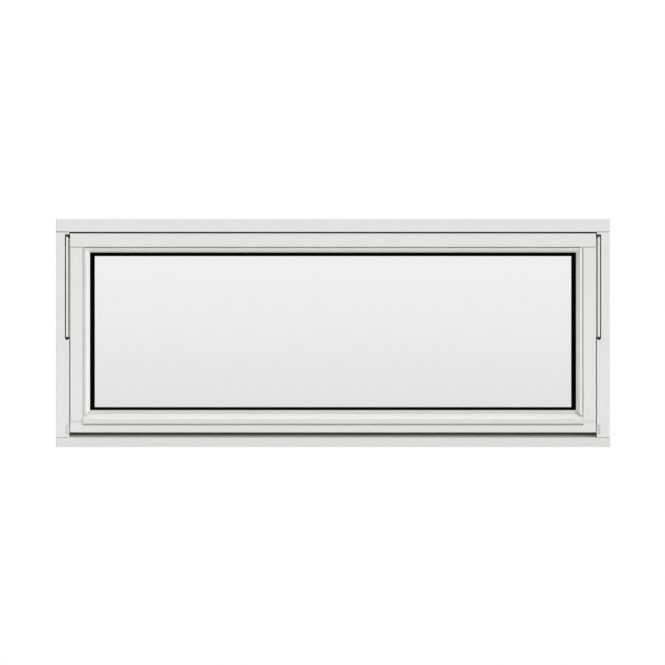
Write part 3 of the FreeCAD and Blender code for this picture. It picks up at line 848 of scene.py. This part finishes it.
class WINDOW_OT_fit_hinges(bpy.types.Operator):
    """Coats the hinge arms and tracks and blackens the pivots"""

    bl_idname = "awning_window.fit_hinges"
    bl_label = "Fit Hinges"

    def execute(self, context):
        fittings = context.scene.window_fittings
        arm = coated_metal("hinge coating", fittings.arm, ALONG_Z, roughness=0.4)
        steel = bare_metal("rivet steel", fittings.rivet, PLATING_MARKS, roughness=0.5)
        for side in SIDES:
            finish_nodes(arm, "hinge_arm_" + side, "hinge_track_" + side)
            finish_nodes(steel, "frame_pivot_" + side, "sash_pivot_" + side)
        return {"FINISHED"}


class WINDOW_OT_fit_guide_blocks(bpy.types.Operator):
    """Finishes the moulded guide blocks at the foot of the jambs"""

    bl_idname = "awning_window.fit_guide_blocks"
    bl_label = "Fit Guide Blocks"

    def execute(self, context):
        fittings = context.scene.window_fittings
        plastic = moulded("guide plastic", fittings.block, roughness=0.5, gloss=0.4)
        finish_nodes(plastic, "guide_block_left", "guide_block_right")
        return {"FINISHED"}


class WINDOW_OT_fit_handle(bpy.types.Operator):
    """Shapes the lever, and fits the neck's collar and the two screws"""

    bl_idname = "awning_window.fit_handle"
    bl_label = "Fit Handle"

    def execute(self, context):
        fittings = context.scene.window_fittings
        lines = marks_along(ALONG_X, HANDLE_LINES_ACROSS, HANDLE_LINES_ALONG)
        metal = bare_metal("handle metal", fittings.handle, lines, roughness=0.36)
        steel = bare_metal("screw steel", fittings.screw, PLATING_MARKS, roughness=0.3)
        finish_nodes(metal, "handle_base")

        grip_mesh = shell_mesh("handle_grip", grip_rings(), neck_rings())
        grip = add_piece("handle_grip", grip_mesh, metal, ["handle_lever"])
        cast_together(grip)

        low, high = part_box("handle_base")
        middle_z = (low.z + high.z) / 2
        foot = Vector((0.0, high.y, middle_z))
        collar = collar_rings(foot, fittings.collar_radius, fittings.collar_height)
        add_piece("handle_collar", shell_mesh("handle_collar", collar), metal)

        for side, x in zip(SIDES, (low.x + fittings.screw_inset, high.x - fittings.screw_inset)):
            name = "handle_screw_" + side
            screw = screw_rings(Vector((x, high.y, middle_z)), fittings.screw_radius)
            add_piece(name, shell_mesh(name, screw), steel)
        return {"FINISHED"}


def studio_world(stage):
    """Even soft light, with plain white for what the camera, mirrors and glass see."""
    world = bpy.data.worlds.new("studio")
    world.use_nodes = True
    tree = world.node_tree
    tree.nodes.clear()
    path = place(tree, "ShaderNodeLightPath").outputs
    seen = math_node(tree, "MAXIMUM", path["Is Camera Ray"], path["Is Glossy Ray"])
    seen = math_node(tree, "MAXIMUM", seen, path["Is Transmission Ray"])
    white = opaque(WHITE)
    soft = place(tree, "ShaderNodeBackground", inputs={"Color": white, "Strength": stage.ambient})
    plain = place(tree, "ShaderNodeBackground", inputs={"Color": white, "Strength": 1.0})
    layers = {0: seen, 1: soft.outputs["Background"], 2: plain.outputs["Background"]}
    mixed = place(tree, "ShaderNodeMixShader", inputs=layers)
    place(tree, "ShaderNodeOutputWorld", inputs={"Surface": mixed.outputs["Shader"]})
    return world


def add_sun(name, bearing, rise, strength, spread):
    """Lamp far off, at a bearing to the right of straight on and an angle above the horizon."""
    level = math.cos(rise)
    source = Vector((math.sin(bearing) * level, -math.cos(bearing) * level, math.sin(rise)))
    data = bpy.data.lights.new(name, "SUN")
    data.energy = strength
    data.angle = spread
    lamp = bpy.data.objects.new(name, data)
    lamp.rotation_euler = (-source).to_track_quat("-Z", "Y").to_euler()
    lamp.location = source * LAMP_DISTANCE
    bpy.context.scene.collection.objects.link(lamp)


def add_floor(stage):
    """Plain pale floor just under the sill."""
    half = stage.floor_size / 2
    bm = bmesh.new()
    corners = [(-half, -half), (half, -half), (half, half), (-half, half)]
    bm.faces.new([bm.verts.new((x, y, 0.0)) for x, y in corners])
    mesh = bpy.data.meshes.new("studio_floor")
    bm.to_mesh(mesh)
    bm.free()
    floor = bpy.data.objects.new("studio_floor", mesh)
    floor.location.z = -FLOOR_DROP
    values = {"Colour": opaque(stage.floor), "Speckle Scale": 40.0, "Tone": 0.02, "Roughness": 0.9}
    dull = {"Specular IOR Level": 0.0}
    mesh.materials.append(skin_material("floor", "MouldedSkin", values, dull, relief=0.0001))
    bpy.context.scene.collection.objects.link(floor)


def add_camera(stage):
    """Camera straight in front of the window, without perspective."""
    data = bpy.data.cameras.new("straight on")
    data.type = "ORTHO"
    data.ortho_scale = stage.view_width
    camera = bpy.data.objects.new("straight on", data)
    camera.location = (stage.view_x, -stage.distance, stage.view_z)
    camera.rotation_euler = (math.pi / 2, 0.0, 0.0)
    bpy.context.scene.collection.objects.link(camera)
    bpy.context.scene.camera = camera


class WINDOW_OT_set_stage(bpy.types.Operator):
    """Sets the floor, the soft light and the straight-on camera"""

    bl_idname = "awning_window.set_stage"
    bl_label = "Set Stage"

    def execute(self, context):
        stage = context.scene.window_stage
        context.scene.view_settings.view_transform = "Standard"
        context.scene.world = studio_world(stage)
        add_floor(stage)
        add_sun("key light", stage.key_bearing, stage.key_rise, stage.key, stage.key_spread)
        add_sun("top light", 0.0, stage.top_rise, stage.top, stage.top_spread)
        behind = stage.key_bearing + math.pi
        add_sun("back fill", behind, stage.back_rise, stage.back_fill, stage.back_spread)
        add_camera(stage)
        return {"FINISHED"}


class WINDOW_PT_finish(bpy.types.Panel):
    """Lists the window's finishing steps and their settings"""

    bl_label = "Awning Window"
    bl_idname = "WINDOW_PT_finish"
    bl_space_type = "VIEW_3D"
    bl_region_type = "UI"
    bl_category = "Window"

    def draw(self, context):
        for name in SETTINGS:
            settings = getattr(context.scene, name)
            box = self.layout.box()
            for field in settings.bl_rna.properties:
                if field.identifier not in ("rna_type", "name"):
                    box.prop(settings, field.identifier)
        for operator in OPERATORS:
            self.layout.operator(operator.bl_idname)


SETTINGS = {
    "window_paint": PaintSettings,
    "window_glass": GlassSettings,
    "window_fittings": FittingSettings,
    "window_stage": StageSettings,
}
OPERATORS = [
    WINDOW_OT_paint_frame,
    WINDOW_OT_paint_sash,
    WINDOW_OT_paint_beads,
    WINDOW_OT_glaze_sash,
    WINDOW_OT_fit_hinges,
    WINDOW_OT_fit_guide_blocks,
    WINDOW_OT_fit_handle,
    WINDOW_OT_set_stage,
]


def register():
    """Adds the classes, and the settings to the scene."""
    for group in SETTINGS.values():
        bpy.utils.register_class(group)
    for operator in OPERATORS:
        bpy.utils.register_class(operator)
    bpy.utils.register_class(WINDOW_PT_finish)
    for name, group in SETTINGS.items():
        setattr(bpy.types.Scene, name, PointerProperty(type=group))


def unregister():
    """Takes the settings and the classes away again."""
    for name in SETTINGS:
        delattr(bpy.types.Scene, name)
    bpy.utils.unregister_class(WINDOW_PT_finish)
    for operator in reversed(OPERATORS):
        bpy.utils.unregister_class(operator)
    for group in reversed(list(SETTINGS.values())):
        bpy.utils.unregister_class(group)


def main():
    """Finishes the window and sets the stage."""
    register()
    bpy.ops.awning_window.paint_frame()
    bpy.ops.awning_window.paint_sash()
    bpy.ops.awning_window.paint_beads()
    bpy.ops.awning_window.glaze_sash()
    bpy.ops.awning_window.fit_hinges()
    bpy.ops.awning_window.fit_guide_blocks()
    bpy.ops.awning_window.fit_handle()
    bpy.ops.awning_window.set_stage()


if __name__ == "__main__":
    main()
